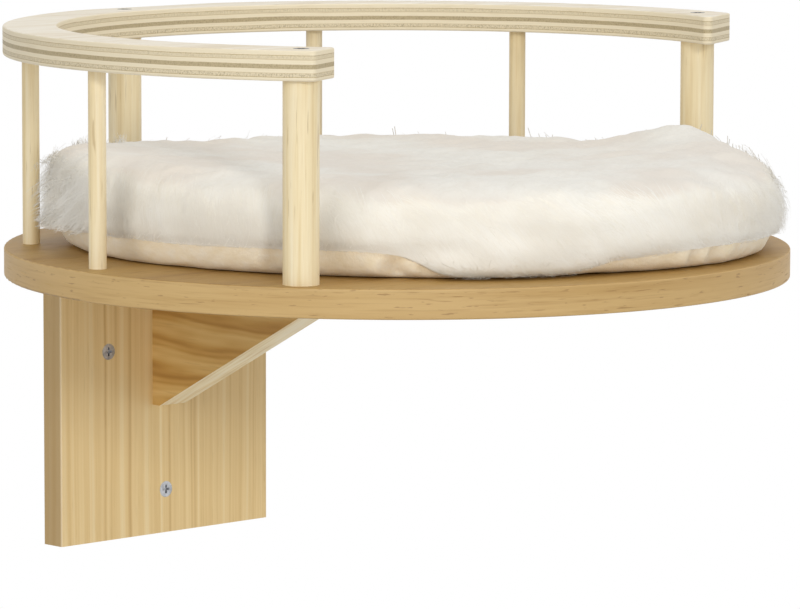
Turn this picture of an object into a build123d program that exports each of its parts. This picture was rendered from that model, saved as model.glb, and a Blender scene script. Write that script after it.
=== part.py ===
from build123d import *
from math import cos, hypot, radians, sin
import os

# A round cat perch on a wall: a board on a plate and gusset, a guard rail on posts, and a loose cushion.
# Millimetres. The wall is the plane y = 0, the perch stands out along -Y, and Z is up.
# The origin is the middle of the wall plate's back face. Angles turn from +X towards the wall.

# Board
BOARD_DIAMETER = 410.0
BOARD_THICKNESS = 15.0

# Wall plate
PLATE_WIDTH = 150.0
PLATE_HEIGHT = 160.0
PLATE_THICKNESS = 15.0

# Gusset under the board
GUSSET_THICKNESS = 19.0
GUSSET_HEIGHT = 88.0
GUSSET_LENGTH = 164.0
GUSSET_FOOT = 6.0
GUSSET_NOSE = 6.0

# Guard rail, sawn open towards the room; a margin runs from a post's side to the sawn end
RAIL_WIDTH = 28.0
RAIL_THICKNESS = 15.0
RAIL_CORNER_RADIUS = 3.0
RAIL_RIGHT_MARGIN = 13.5
RAIL_LEFT_MARGIN = 3.3
RAIL_END_CUT_DEG = 26.0

# Posts and spindles between board and rail
RAIL_CLEAR_HEIGHT = 100.0
POST_DIAMETER = 18.0
POST_WALL_GAP = 1.6
SPINDLE_DIAMETER = 9.0
SOCKET_DEPTH = 8.0
SOCKET_TOP_GAP = 0.5
FIRST_POST_DEG = -11.5
LAST_POST_DEG = 212.3
POST_ARC_SHARES = {"post_right": 0.0, "post_back": 0.487, "post_left": 1.0}
SPINDLE_ARC_SHARES = {
    "spindle_right_front": 0.168,
    "spindle_right_back": 0.322,
    "spindle_left_back": 0.665,
    "spindle_left_front": 0.833,
}

# Screws; the neck is the plain stretch under the head
WALL_SCREW_LENGTH = 50.0
WALL_SCREW_THREAD = 4.8
WALL_SCREW_NECK = 4.2
WALL_SCREW_HEAD = 8.8
WALL_SCREW_TIP = 7.0
WALL_SCREW_SIDE_INSET = 34.0
WALL_SCREW_UPPER_DROP = 56.0
WALL_SCREW_LOWER_RISE = 24.0
WOOD_SCREW_LENGTH = 35.0
WOOD_SCREW_THREAD = 4.0
WOOD_SCREW_NECK = 3.5
WOOD_SCREW_NECK_LENGTH = 14.0
WOOD_SCREW_HEAD = 8.0
WOOD_SCREW_TIP = 5.0
SCREW_RIM = 0.5
RECESS_WIDTH = 1.2
RECESS_SPAN = 4.8
RECESS_DEPTH = 1.5
PLATE_TOP_SCREW_SIDE_INSET = 30.0
GUSSET_TOP_SCREW_SHARES = (0.26, 0.6)
GUSSET_BACK_SCREW_SHARES = (0.3, 0.74)

# Loose cushion, an oval of four arcs with a crown and drawn-in sides, sized from the rail's inner edge
CUSHION_HEIGHT = 47.0
CUSHION_END_REACH = 6.0
CUSHION_SIDE_ROOM = 17.0
CUSHION_SHIFT_X = 1.0
CUSHION_SHIFT_Y = -14.0
CUSHION_TURN_DEG = -58.0
CUSHION_END_RADIUS_SHARE = 0.86
CUSHION_LAYERS = 12
CUSHION_PROFILE_STEPS = 600
CUSHION_BASE_DEG = -24.0
CUSHION_CROWN_DEG = 80.0
CUSHION_FULLNESS_SHARE = 0.35

# Fits and finish
FIT_CLEARANCE = 0.05
EDGE_EASE = 1.0
CUT_OVERRUN = 5.0

board_radius = BOARD_DIAMETER / 2
rail_inner_radius = board_radius - RAIL_WIDTH
post_circle_radius = board_radius - RAIL_WIDTH / 2
board_bottom_z = PLATE_HEIGHT / 2
board_top_z = board_bottom_z + BOARD_THICKNESS
rail_bottom_z = board_top_z + RAIL_CLEAR_HEIGHT
rail_top_z = rail_bottom_z + RAIL_THICKNESS
cushion_half_length = rail_inner_radius + CUSHION_END_REACH
cushion_half_width = rail_inner_radius - CUSHION_SIDE_ROOM


def arc_degrees(share):
    return FIRST_POST_DEG + share * (LAST_POST_DEG - FIRST_POST_DEG)


# The back post stands just off the wall, and that sets how far out the board's centre lies.
back_post_reach = post_circle_radius * sin(radians(arc_degrees(POST_ARC_SHARES["post_back"])))
board_centre_y = -(back_post_reach + POST_DIAMETER / 2 + POST_WALL_GAP)


def on_post_circle(degrees_from_x, z):
    turn = radians(degrees_from_x)
    x = post_circle_radius * cos(turn)
    y = board_centre_y + post_circle_radius * sin(turn)
    return Vector(x, y, z)


def turned(outline):
    half_section = make_face(Polyline(*outline, close=True))
    return revolve(Plane.XZ * half_section, Axis.Z)


def screw(length, thread, head, tip, neck, neck_length):
    # Axis down -Z with the head's face at z = 0 and a cross recess in it.
    body = turned([
        (0, 0),
        (head / 2, 0),
        (head / 2, -SCREW_RIM),
        (neck / 2, -SCREW_RIM - (head - neck) / 2),
        (neck / 2, -neck_length),
        (thread / 2, -neck_length),
        (thread / 2, tip - length),
        (0, -length),
    ])
    slot = Box(RECESS_SPAN, RECESS_WIDTH, RECESS_DEPTH, align=(Align.CENTER, Align.CENTER, Align.MAX))
    return body - slot - Rot(0, 0, 90) * slot


def screw_void(length, thread, head, tip):
    # The countersunk hole for a screw, open above its head.
    hole_radius = thread / 2 + FIT_CLEARANCE
    mouth_radius = head / 2 + FIT_CLEARANCE
    return turned([
        (0, CUT_OVERRUN),
        (mouth_radius, CUT_OVERRUN),
        (mouth_radius, -SCREW_RIM),
        (hole_radius, -SCREW_RIM - (head - thread) / 2),
        (hole_radius, tip - length),
        (0, -length - FIT_CLEARANCE),
    ])


wall_screw_sizes = (WALL_SCREW_LENGTH, WALL_SCREW_THREAD, WALL_SCREW_HEAD, WALL_SCREW_TIP)
wood_screw_sizes = (WOOD_SCREW_LENGTH, WOOD_SCREW_THREAD, WOOD_SCREW_HEAD, WOOD_SCREW_TIP)
pointing_up = Rot(180, 0, 0)
pointing_to_wall = Rot(90, 0, 0)
pointing_from_wall = Rot(-90, 0, 0)
standing = (Align.CENTER, Align.CENTER, Align.MIN)


def wall_screw_places():
    upper_z = PLATE_HEIGHT / 2 - WALL_SCREW_UPPER_DROP
    lower_z = WALL_SCREW_LOWER_RISE - PLATE_HEIGHT / 2
    side_x = PLATE_WIDTH / 2 - WALL_SCREW_SIDE_INSET
    spots = [(-side_x, upper_z), (side_x, upper_z), (0, lower_z)]
    return [Pos(x, -PLATE_THICKNESS, z) * pointing_to_wall for x, z in spots]


def rail_screw_places():
    return [Pos(on_post_circle(arc_degrees(share), rail_top_z)) for share in POST_ARC_SHARES.values()]


def post_base_screw_places():
    spots = [on_post_circle(arc_degrees(share), board_bottom_z) for share in POST_ARC_SHARES.values()]
    return [Pos(spot) * pointing_up for spot in spots]


def plate_top_screw_places():
    side_x = PLATE_WIDTH / 2 - PLATE_TOP_SCREW_SIDE_INSET
    return [Pos(x, -PLATE_THICKNESS / 2, board_top_z) for x in (-side_x, side_x)]


def gusset_top_screw_places():
    reaches = [PLATE_THICKNESS + share * GUSSET_LENGTH for share in GUSSET_TOP_SCREW_SHARES]
    return [Pos(0, -reach, board_top_z) for reach in reaches]


def gusset_back_screw_places():
    heights = [board_bottom_z - share * GUSSET_HEIGHT for share in GUSSET_BACK_SCREW_SHARES]
    return [Pos(0, 0, z) * pointing_from_wall for z in heights]


wall_screw_spots = wall_screw_places()
wood_screw_spots = {
    "rail_screws": rail_screw_places(),
    "post_base_screws": post_base_screw_places(),
    "plate_top_screws": plate_top_screw_places(),
    "gusset_top_screws": gusset_top_screw_places(),
    "gusset_back_screws": gusset_back_screw_places(),
}


def drilled(piece, *screw_sets):
    for name in screw_sets:
        for spot in wood_screw_spots[name]:
            piece = piece - spot * screw_void(*wood_screw_sizes)
    return piece


def socketed(piece, bottom_z, depth):
    socket = Cylinder(SPINDLE_DIAMETER / 2 + FIT_CLEARANCE, depth, align=standing)
    for share in SPINDLE_ARC_SHARES.values():
        piece = piece - Pos(on_post_circle(arc_degrees(share), bottom_z)) * socket
    return piece


def eased(piece):
    layers = piece.edges().group_by(Axis.Z)
    return fillet(layers[0] + layers[-1], EDGE_EASE)


def behind_wall():
    return Pos(0, board_radius) * Rectangle(BOARD_DIAMETER, BOARD_DIAMETER)


def make_board():
    outline = Pos(0, board_centre_y) * Circle(board_radius) - behind_wall()
    board = Pos(0, 0, board_bottom_z) * eased(extrude(outline, BOARD_THICKNESS))
    board = socketed(board, board_top_z - SOCKET_DEPTH, SOCKET_DEPTH + CUT_OVERRUN)
    return drilled(board, "post_base_screws", "plate_top_screws", "gusset_top_screws")


def make_plate():
    plate = Box(PLATE_WIDTH, PLATE_THICKNESS, PLATE_HEIGHT, align=(Align.CENTER, Align.MAX, Align.CENTER))
    plate = fillet(plate.edges().filter_by(Axis.Z), EDGE_EASE)
    for spot in wall_screw_spots:
        plate = plate - spot * screw_void(*wall_screw_sizes)
    return drilled(plate, "plate_top_screws", "gusset_back_screws")


def make_gusset():
    back_y = -PLATE_THICKNESS
    nose_y = back_y - GUSSET_LENGTH
    outline = Polyline(
        (back_y, board_bottom_z),
        (back_y, board_bottom_z - GUSSET_HEIGHT),
        (back_y - GUSSET_FOOT, board_bottom_z - GUSSET_HEIGHT),
        (nose_y, board_bottom_z - GUSSET_NOSE),
        (nose_y, board_bottom_z),
        close=True,
    )
    side = Plane.YZ * make_face(outline)
    gusset = extrude(side, GUSSET_THICKNESS / 2, both=True)
    return drilled(gusset, "gusset_top_screws", "gusset_back_screws")


def rail_end(post_share, margin, direction):
    # Middle of the sawn end, further round the post circle than the end post's side.
    step = (POST_DIAMETER / 2 + margin) / post_circle_radius
    turn = radians(arc_degrees(post_share)) + direction * step
    return Vector(post_circle_radius * cos(turn), board_centre_y + post_circle_radius * sin(turn))


def make_rail():
    right_end = rail_end(POST_ARC_SHARES["post_right"], RAIL_RIGHT_MARGIN, -1)
    left_end = rail_end(POST_ARC_SHARES["post_left"], RAIL_LEFT_MARGIN, 1)
    cut_turn = radians(RAIL_END_CUT_DEG)
    along_cut = 2 * RAIL_WIDTH * Vector(cos(cut_turn), sin(cut_turn))
    across_chord = (right_end - left_end).rotate(Axis.Z, -90)
    gap = Polyline(
        left_end - along_cut,
        left_end + along_cut,
        right_end - along_cut,
        right_end + along_cut,
        right_end + along_cut + across_chord,
        left_end - along_cut + across_chord,
        close=True,
    )
    ring = Pos(0, board_centre_y) * (Circle(board_radius) - Circle(rail_inner_radius))
    ring = ring - behind_wall() - make_face(gap)
    ends = (left_end, right_end)
    corners = [v for v in ring.vertices() for end in ends if (Vector(v) - end).length < RAIL_WIDTH]
    rail = extrude(fillet(corners, RAIL_CORNER_RADIUS), RAIL_THICKNESS)
    rail = Pos(0, 0, rail_bottom_z) * eased(rail)
    rail = socketed(rail, rail_bottom_z - CUT_OVERRUN, CUT_OVERRUN + SOCKET_DEPTH)
    return drilled(rail, "rail_screws")


def make_post(share):
    post = Cylinder(POST_DIAMETER / 2, RAIL_CLEAR_HEIGHT, align=standing)
    post = Pos(on_post_circle(arc_degrees(share), board_top_z)) * post
    return drilled(post, "rail_screws", "post_base_screws")


def make_spindle(share):
    length = SOCKET_DEPTH + RAIL_CLEAR_HEIGHT + SOCKET_DEPTH - SOCKET_TOP_GAP
    spindle = Cylinder(SPINDLE_DIAMETER / 2, length, align=standing)
    return Pos(on_post_circle(arc_degrees(share), board_top_z - SOCKET_DEPTH)) * spindle


def cushion_section(span_share, rise_share):
    # A four-centre oval: tight arcs at the long ends, flat arcs along the sides, all tangent.
    half_length = span_share * cushion_half_length
    half_width = span_share * cushion_half_width
    end_radius = CUSHION_END_RADIUS_SHARE * half_width
    end_centre = half_length - end_radius
    spare = half_width - end_radius
    side_radius = (end_centre**2 + half_width**2 - end_radius**2) / (2 * spare)
    side_centre = half_width - side_radius
    slant = hypot(end_centre, side_centre)
    join_x = end_centre + end_radius * end_centre / slant
    join_y = -end_radius * side_centre / slant
    outline = [
        ThreePointArc((join_x, -join_y), (half_length, 0), (join_x, join_y)),
        ThreePointArc((join_x, join_y), (0, half_width), (-join_x, join_y)),
        ThreePointArc((-join_x, join_y), (-half_length, 0), (-join_x, -join_y)),
        ThreePointArc((-join_x, -join_y), (0, -half_width), (join_x, -join_y)),
    ]
    middle_x = CUSHION_SHIFT_X
    middle_y = board_centre_y + CUSHION_SHIFT_Y
    middle_z = board_top_z + rise_share * CUSHION_HEIGHT
    return Pos(middle_x, middle_y, middle_z) * Rot(0, 0, CUSHION_TURN_DEG) * make_face(outline)


def cushion_profile():
    # The side as shares of span and rise, on a rounded arc: widest at 0 degrees, drawn in below it, and
    # nearly closed at the crown. Each point comes with the length of profile below it.
    base_rise = sin(radians(CUSHION_BASE_DEG))
    crown_rise = sin(radians(CUSHION_CROWN_DEG))
    points = []
    travelled = 0
    for step in range(CUSHION_PROFILE_STEPS + 1):
        share = step / CUSHION_PROFILE_STEPS
        turn = radians(CUSHION_BASE_DEG + share * (CUSHION_CROWN_DEG - CUSHION_BASE_DEG))
        span_share = cos(turn) ** CUSHION_FULLNESS_SHARE
        rise_share = (sin(turn) - base_rise) / (crown_rise - base_rise)
        if points:
            inward = (span_share - points[-1][1]) * cushion_half_length
            upward = (rise_share - points[-1][2]) * CUSHION_HEIGHT
            travelled = travelled + hypot(inward, upward)
        points.append((travelled, span_share, rise_share))
    return points


def make_cushion():
    # The sections stand at equal lengths along the profile, which keeps ripples out of the loft.
    points = cushion_profile()
    whole_length = points[-1][0]
    sections = []
    for layer in range(CUSHION_LAYERS):
        wanted = whole_length * layer / (CUSHION_LAYERS - 1)
        nearest = min(points, key=lambda point: abs(point[0] - wanted))
        sections.append(cushion_section(nearest[1], nearest[2]))
    return loft(sections)


def make_nodes():
    nodes = {
        "board": make_board(),
        "wall_plate": make_plate(),
        "gusset": make_gusset(),
        "guard_rail": make_rail(),
    }
    for name, share in POST_ARC_SHARES.items():
        nodes[name] = make_post(share)
    for name, share in SPINDLE_ARC_SHARES.items():
        nodes[name] = make_spindle(share)
    wall_screw = screw(*wall_screw_sizes, WALL_SCREW_NECK, PLATE_THICKNESS)
    wood_screw = screw(*wood_screw_sizes, WOOD_SCREW_NECK, WOOD_SCREW_NECK_LENGTH)
    nodes["wall_screws"] = Compound([spot * wall_screw for spot in wall_screw_spots])
    for name, spots in wood_screw_spots.items():
        nodes[name] = Compound([spot * wood_screw for spot in spots])
    nodes["cushion"] = make_cushion()
    return nodes


os.makedirs("parts", exist_ok=True)
for node_name, node_shape in make_nodes().items():
    export_step(node_shape, f"parts/{node_name}.step")
    print(node_name, "written")
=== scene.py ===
import math
import bpy
import numpy as np
from mathutils import Matrix, Vector
from numpy.linalg import norm


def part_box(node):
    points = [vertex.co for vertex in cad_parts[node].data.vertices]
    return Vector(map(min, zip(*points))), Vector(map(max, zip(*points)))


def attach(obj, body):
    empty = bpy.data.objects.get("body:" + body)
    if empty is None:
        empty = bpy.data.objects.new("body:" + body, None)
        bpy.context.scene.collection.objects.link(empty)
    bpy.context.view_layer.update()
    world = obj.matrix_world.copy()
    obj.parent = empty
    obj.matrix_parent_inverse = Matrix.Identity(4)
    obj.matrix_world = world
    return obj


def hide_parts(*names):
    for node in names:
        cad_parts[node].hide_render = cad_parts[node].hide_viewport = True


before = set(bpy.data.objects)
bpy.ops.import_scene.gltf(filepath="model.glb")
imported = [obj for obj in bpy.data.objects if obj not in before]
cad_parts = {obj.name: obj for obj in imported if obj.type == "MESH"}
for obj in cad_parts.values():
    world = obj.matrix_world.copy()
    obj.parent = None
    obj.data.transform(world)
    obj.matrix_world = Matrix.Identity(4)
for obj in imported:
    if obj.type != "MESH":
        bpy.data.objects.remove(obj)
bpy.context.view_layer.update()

scene = bpy.context.scene
scene.view_settings.view_transform = "Standard"
boardMiddleY = -0.2  # the round board's centre, in metres from the wall


def tint(colour):
    # red, green and blue in 0 to 255 as the eye sees them, turned into light by the sRGB formula
    shares = [value / 255 for value in colour]
    return (*(s / 12.92 if s <= 0.04045 else ((s + 0.055) / 1.055) ** 2.4 for s in shares), 1.0)


def joined(operation, turned=False):
    # one step of arithmetic as a method. turned: the other number comes first
    return lambda a, b: a.finish.maths(operation, *((b, a) if turned else (a, b)))


class Value:
    # one number or colour that runs through a finish's nodes
    def __init__(self, finish, socket):
        self.finish, self.socket = finish, socket

    __add__ = __radd__ = joined("ADD")
    __mul__ = __rmul__ = joined("MULTIPLY")
    __sub__, __rsub__ = joined("SUBTRACT"), joined("SUBTRACT", True)
    __truediv__ = joined("DIVIDE")

    def __abs__(self):
        return self.finish.maths("ABSOLUTE", self)


class Finish:
    # the nodes of one new material, or of the sky
    def __init__(self, name, kind="materials"):
        self.owner = getattr(bpy.data, kind).new(name)
        self.owner.use_nodes = True
        self.tree = self.owner.node_tree
        self.tree.nodes.clear()

    def node(self, kind, settings, sockets):
        made = self.tree.nodes.new("ShaderNode" + kind)
        for key, value in settings.items():
            if key == "stops":
                elements = made.color_ramp.elements
                elements.remove(elements[-1])
                elements[0].position, elements[0].color = value[0][0], tint(value[0][1])
                for position, colour in value[1:]:
                    elements.new(position).color = tint(colour)
            elif key == "between":
                made.color_ramp.interpolation = value
            else:
                setattr(made, key, value)
        for key, value in sockets.items():
            if isinstance(value, Value):
                self.tree.links.new(value.socket, made.inputs[key])
            else:
                made.inputs[key].default_value = tint(value) if isinstance(value, tuple) else value
        return [Value(self, socket) for socket in made.outputs]

    def maths(self, operation, *values):
        return self.node("Math", {"operation": operation}, dict(enumerate(values)))[0]

    def place(self):
        # x, y, z on the object, in metres
        return self.node("SeparateXYZ", {}, {0: self.node("TexCoord", {}, {})[3]})

    def facing(self):
        # which way the surface faces: x, y, z from -1 to 1
        return self.node("SeparateXYZ", {}, {0: self.node("TexCoord", {}, {})[1]})

    def noise(self, x, y, z, detail=3, rough=0.5, bend=0):
        # soft noise from 0 to 1. A place in metres times n has n cells of grain to the metre
        at = self.node("CombineXYZ", {}, {0: x, 1: y, 2: z})[0]
        return self.node("TexNoise", {}, {
            "Vector": at, "Scale": 1, "Detail": detail, "Roughness": rough, "Distortion": bend})[0]

    def step(self, value, low, high):
        # 0 below low, 1 above high, smooth between
        return self.node("MapRange", {"interpolation_type": "SMOOTHSTEP"}, {0: value, 1: low, 2: high})[0]

    def ramp(self, value, stops, between="LINEAR"):
        return self.node("ValToRGB", {"between": between, "stops": stops}, {0: value})[0]

    def mix(self, share, first, second, way="MIX"):
        return self.node("Mix", {"data_type": "RGBA", "blend_type": way},
                         {0: share, 6: first, 7: second})[2]

    def choose(self, share, first, second):
        # the same as mix, for numbers
        return first + (second - first) * share

    def bump(self, height, depth, strength):
        return self.node("Bump", {}, {"Strength": strength, "Distance": depth, "Height": height})[0]

    def cover(self, colour, roughness, **others):
        sockets = {"Base Color": colour, "Roughness": roughness, **others}
        self.node("OutputMaterial", {}, {"Surface": self.node("BsdfPrincipled", {}, sockets)[0]})
        return self.owner


def dress(material, *nodes):
    for node in nodes:
        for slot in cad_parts[node].material_slots:
            slot.material = material


def meshFrom(name, points, quads):
    # rows of points and rows of four corner numbers, put in whole
    mesh = bpy.data.meshes.new(name)
    mesh.vertices.add(len(points))
    mesh.vertices.foreach_set("co", np.ascontiguousarray(points, np.float32).ravel())
    mesh.loops.add(quads.size)
    mesh.loops.foreach_set("vertex_index", np.ascontiguousarray(quads, np.int32).ravel())
    mesh.polygons.add(len(quads))
    mesh.polygons.foreach_set("loop_start", np.arange(0, quads.size, 4, dtype=np.int32))
    mesh.polygons.foreach_set("use_smooth", np.ones(len(quads), bool))
    mesh.update(calc_edges=True)
    made = bpy.data.objects.new(name, mesh)
    scene.collection.objects.link(made)
    return made


def ringQuads(rows, n):
    # joins each ring of n points to the next: quads that face outwards where the rings climb
    row, col = np.meshgrid(np.arange(rows - 1), np.arange(n), indexing="ij")
    after = (col + 1) % n
    low, high = row * n, (row + 1) * n
    return np.stack([low + col, low + after, high + after, high + col], -1).reshape(-1, 4)


# where the photograph was taken from: turned to the left of straight on, a little above the board, and then swung
# a little to the camera's own right
photoView = dict(turn=42.39, rise=6.85, swing=1.168, distance=2.67012, aside=-0.05292, height=0.06306,
                 focalPixels=5101.3, pictureWidth=800, sensorWidth=36, farthest=50)


def setCamera(view):
    turn, rise, swing = (math.radians(view[key]) for key in ("turn", "rise", "swing"))
    right = Vector((math.cos(turn), -math.sin(turn), 0))
    back = Vector((-math.sin(turn) * math.cos(rise), -math.cos(turn) * math.cos(rise), math.sin(rise)))
    up = back.cross(right)
    place = Vector((view["aside"] * right.x, boardMiddleY + view["aside"] * right.y, view["height"]))
    place += back * view["distance"]
    swungRight = right * math.cos(swing) + back * math.sin(swing)
    swungBack = back * math.cos(swing) - right * math.sin(swing)
    data = bpy.data.cameras.new("photoCamera")
    data.sensor_width = view["sensorWidth"]
    data.lens = view["focalPixels"] / view["pictureWidth"] * view["sensorWidth"]
    data.clip_end = view["farthest"]
    camera = bpy.data.objects.new("photoCamera", data)
    turned = Matrix((swungRight, up, swungBack)).transposed()
    camera.matrix_world = Matrix.Translation(place) @ turned.to_4x4()
    scene.collection.objects.link(camera)
    scene.camera = camera


# each lamp's place, what it aims at, the side of its square and its watts
lampPlaces = dict(
    overhead=((0.25, -0.55, 2.1), (0, -0.2, 0.1), 2.2, 18),
    frontRight=((1.65, -2.1, 0.72), (0, -0.2, 0.1), 1, 6),
    frontLeft=((-1.35, -2.55, 0.86), (0, -0.2, 0.05), 0.35, 17.5),
    sideLeft=((-2.3, -0.7, 0.9), (0, -0.2, 0.1), 1.5, 15),
    lowFront=((-0.7, -1.6, -0.45), (0, -0.2, 0.05), 1.2, 3),
)
skyLevel = 0.42


def setLamps(places):
    for name, (place, aim, side, watts) in places.items():
        data = bpy.data.lights.new(name, "AREA")
        data.size = side
        data.energy = watts
        lamp = bpy.data.objects.new(name, data)
        lamp.location = place
        lamp.visible_camera = False
        lamp.rotation_euler = (Vector(aim) - Vector(place)).to_track_quat("-Z", "Y").to_euler()
        scene.collection.objects.link(lamp)


def setSky(level):
    # the camera, gloss and glass see plain white, and everything else a softer level
    sky = Finish("studio", "worlds")
    scene.world = sky.owner
    path = {out.socket.name: out for out in sky.node("LightPath", {}, {})}
    seen = sky.maths("MAXIMUM", path["Is Camera Ray"], path["Is Glossy Ray"])
    seen = sky.maths("MAXIMUM", seen, path["Is Transmission Ray"])
    soft = sky.node("Background", {}, {"Color": (255, 255, 255), "Strength": level})[0]
    white = sky.node("Background", {}, {"Color": (255, 255, 255), "Strength": 1.0})[0]
    both = sky.node("MixShader", {}, {0: seen, 1: soft, 2: white})[0]
    sky.node("OutputWorld", {}, {"Surface": both})


# a pale disc. rings: the radii of its rings of points. fade: the squared distances between which it fades out
floorShape = dict(height=-0.6, sides=128, rings=(0.001, 0.3, 0.7, 1.1, 1.5), fade=(0.35, 1.9), roughness=0.8,
                  darker=(238, 238, 238), paler=(243, 243, 243))


def setFloor(shape):
    # each point is the board's middle plus its ring's radius times its direction
    turns = np.linspace(0, 2 * np.pi, shape["sides"], endpoint=False)
    ring = np.stack([np.cos(turns), np.sin(turns)], 1)
    flat = (np.array(shape["rings"])[:, None, None] * ring[None]).reshape(-1, 2)
    points = np.column_stack([flat[:, 0], flat[:, 1] + boardMiddleY, np.full(len(flat), shape["height"])])
    floor = meshFrom("floor", points, ringQuads(len(shape["rings"]), shape["sides"])[:, ::-1])
    paint = Finish("paleFloor")
    x, y, _ = paint.place()
    surface = paint.node("BsdfPrincipled", {}, {
        "Base Color": paint.mix(paint.noise(x * 6, y * 6, 0.0), shape["darker"], shape["paler"]),
        "Roughness": shape["roughness"]})[0]
    clear = paint.node("BsdfTransparent", {}, {})[0]
    # the floor can't be seen from below, and it fades out towards its edge
    behind = paint.node("NewGeometry", {}, {})[6]
    awayY = y - boardMiddleY
    gone = paint.maths("MAXIMUM", behind, paint.step(x * x + awayY * awayY, *shape["fade"]))
    both = paint.node("MixShader", {}, {0: gone, 1: surface, 2: clear})[0]
    paint.node("OutputMaterial", {}, {"Surface": both})
    floor.data.materials.append(paint.owner)


setCamera(photoView)
setLamps(lampPlaces)
setSky(skyLevel)
setFloor(floorShape)
print("camera, lamps and floor set")


# rimLine: the heights between which the rim turns paler
oakTones = dict(light=(218, 189, 136), middle=(203, 171, 115), streak=(176, 141, 84),
                pore=(138, 102, 56), topPaintedShade=(205, 189, 144), rimPaintedShade=(234, 226, 210),
                rimLine=(0.0937, 0.0950), rimRadius=0.205)


def oakFigure(paint, along, across, through, seed):
    # straight oak figure: broad soft bands, finer lines stretched along the grain, and short dark pores
    broad = paint.noise(along * 2.2 + seed, across * 26, through * 26, 3, 0.5, 0.6)
    lines = paint.noise(along * 7, across * 210 + seed, through * 210, 4, 0.62, 0.25)
    fine = paint.noise(along * 26, across * 820, through * 820 + seed, 2, 0.6)
    pores = paint.step(paint.noise(along * 62, across * 900 + seed, through * 900, 1, 0.4), 0.63, 0.72)
    patches = paint.step(paint.noise(along * 9, across * 60, through * 60 + seed, 2), 0.42, 0.62)
    body = paint.ramp(broad * 0.55 + lines * 0.45, [
        (0.30, oakTones["streak"]), (0.44, oakTones["middle"]), (0.60, oakTones["light"])])
    body = paint.mix(paint.step(lines, 0.56, 0.70) * 0.45, body, oakTones["streak"])
    body = paint.mix(paint.step(fine, 0.5, 0.75) * 0.35, body, oakTones["streak"])
    body = paint.mix(pores * patches * 0.55, body, oakTones["pore"])
    rough = 0.46 + lines * 0.12 + pores * 0.15
    height = fine * 0.5 - pores * patches * 0.8 - paint.step(lines, 0.5, 0.7) * 0.3
    return body, rough, height


def alongRim(paint, x, y, radius):
    # metres along a circle round the board's middle, with its seam at the wall
    return paint.maths("ARCTAN2", x, (y - boardMiddleY) * -1) * radius


def boardFinish():
    paint = Finish("oakBoard")
    x, y, z = paint.place()
    nz = paint.facing()[2]
    # on the edge the grain runs round the rim
    around = alongRim(paint, x, y, oakTones["rimRadius"])
    edge = paint.step(abs(nz), 0.75, 0.6)
    topBody, topRough, topHeight = oakFigure(paint, x, y, 0.3, 3.1)
    rimBody, rimRough, rimHeight = oakFigure(paint, around, z, 0.7, 8.4)
    # short dark flecks, and a paler line along the rim's top
    flecks = paint.step(paint.noise(around * 95, z * 620, 2, 2, 0.6), 0.64, 0.70)
    rimBody = paint.mix(flecks * 0.5, rimBody, oakTones["pore"])
    rimBody = paint.mix(paint.step(z, *oakTones["rimLine"]) * 0.35, rimBody, oakTones["light"])
    # painted shade: the whole rim is darkened, to hold it down under the front lamps
    rimBody = paint.mix(1, rimBody, oakTones["rimPaintedShade"], "MULTIPLY")
    # painted shade: the whole top is darkened, standing in for the shadow of the pad and the rail
    topBody = paint.mix(1, topBody, oakTones["topPaintedShade"], "MULTIPLY")
    body = paint.mix(edge, topBody, rimBody)
    height = paint.choose(edge, topHeight, rimHeight)
    return paint.cover(body, paint.choose(edge, topRough, rimRough), Normal=paint.bump(height, 0.00012, 0.5))


# bands: the figure's colours from its dark lines to its pale ones
plateTones = dict(
    bands=[(0.32, (206, 172, 114)), (0.44, (230, 200, 141)), (0.55, (240, 213, 157)),
           (0.68, (247, 229, 184))],
    cutSide=(146, 112, 62), worn=(235, 218, 184), wornX=(0.0738, 0.0748), wornY=(-0.0138, -0.0148))


def plateFinish():
    paint = Finish("oakPlate")
    x, y, z = paint.place()
    nx = paint.facing()[0]
    side = paint.step(abs(nx), 0.5, 0.8)
    body, rough, height = oakFigure(paint, z, x + y * 0.9, y * 0.2, 5.7)
    # the figure's bands run straight up the plate, about 5 mm apart, each with a sharp and a soft side
    sway = paint.noise(z * 7, x * 20, 4, 2) * 0.004
    row = x + y * 0.9 + sway
    bands = paint.noise(z * 1.3 + 1, row * 175, y * 4, 2, 0.45)
    narrow = paint.noise(z * 2.5, row * 520, y * 4 + 3, 2, 0.5)
    body = paint.mix(0.8, body, paint.ramp(bands * 0.68 + narrow * 0.32, plateTones["bands"]))
    # the cut side is browner
    body = paint.mix(side * 0.65, body, plateTones["cutSide"])
    # the foil is rubbed light along its edges
    outer = paint.step(abs(x), *plateTones["wornX"])
    front = paint.step(y, *plateTones["wornY"])
    body = paint.mix(outer * front * 0.6, body, plateTones["worn"])
    return paint.cover(body, rough, Normal=paint.bump(height + bands * 0.3, 0.00012, 0.5))


gussetTones = dict(
    wood=[(0.15, (224, 190, 124)), (0.45, (210, 170, 100)), (0.62, (198, 154, 82)),
          (0.85, (172, 126, 58))],
    fibre=(164, 120, 58),
    # the sawn face's streaks, pale enough to carry painted light
    slant=[(0.36, (226, 202, 152)), (0.5, (241, 225, 186)), (0.64, (247, 236, 206))])


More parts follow.
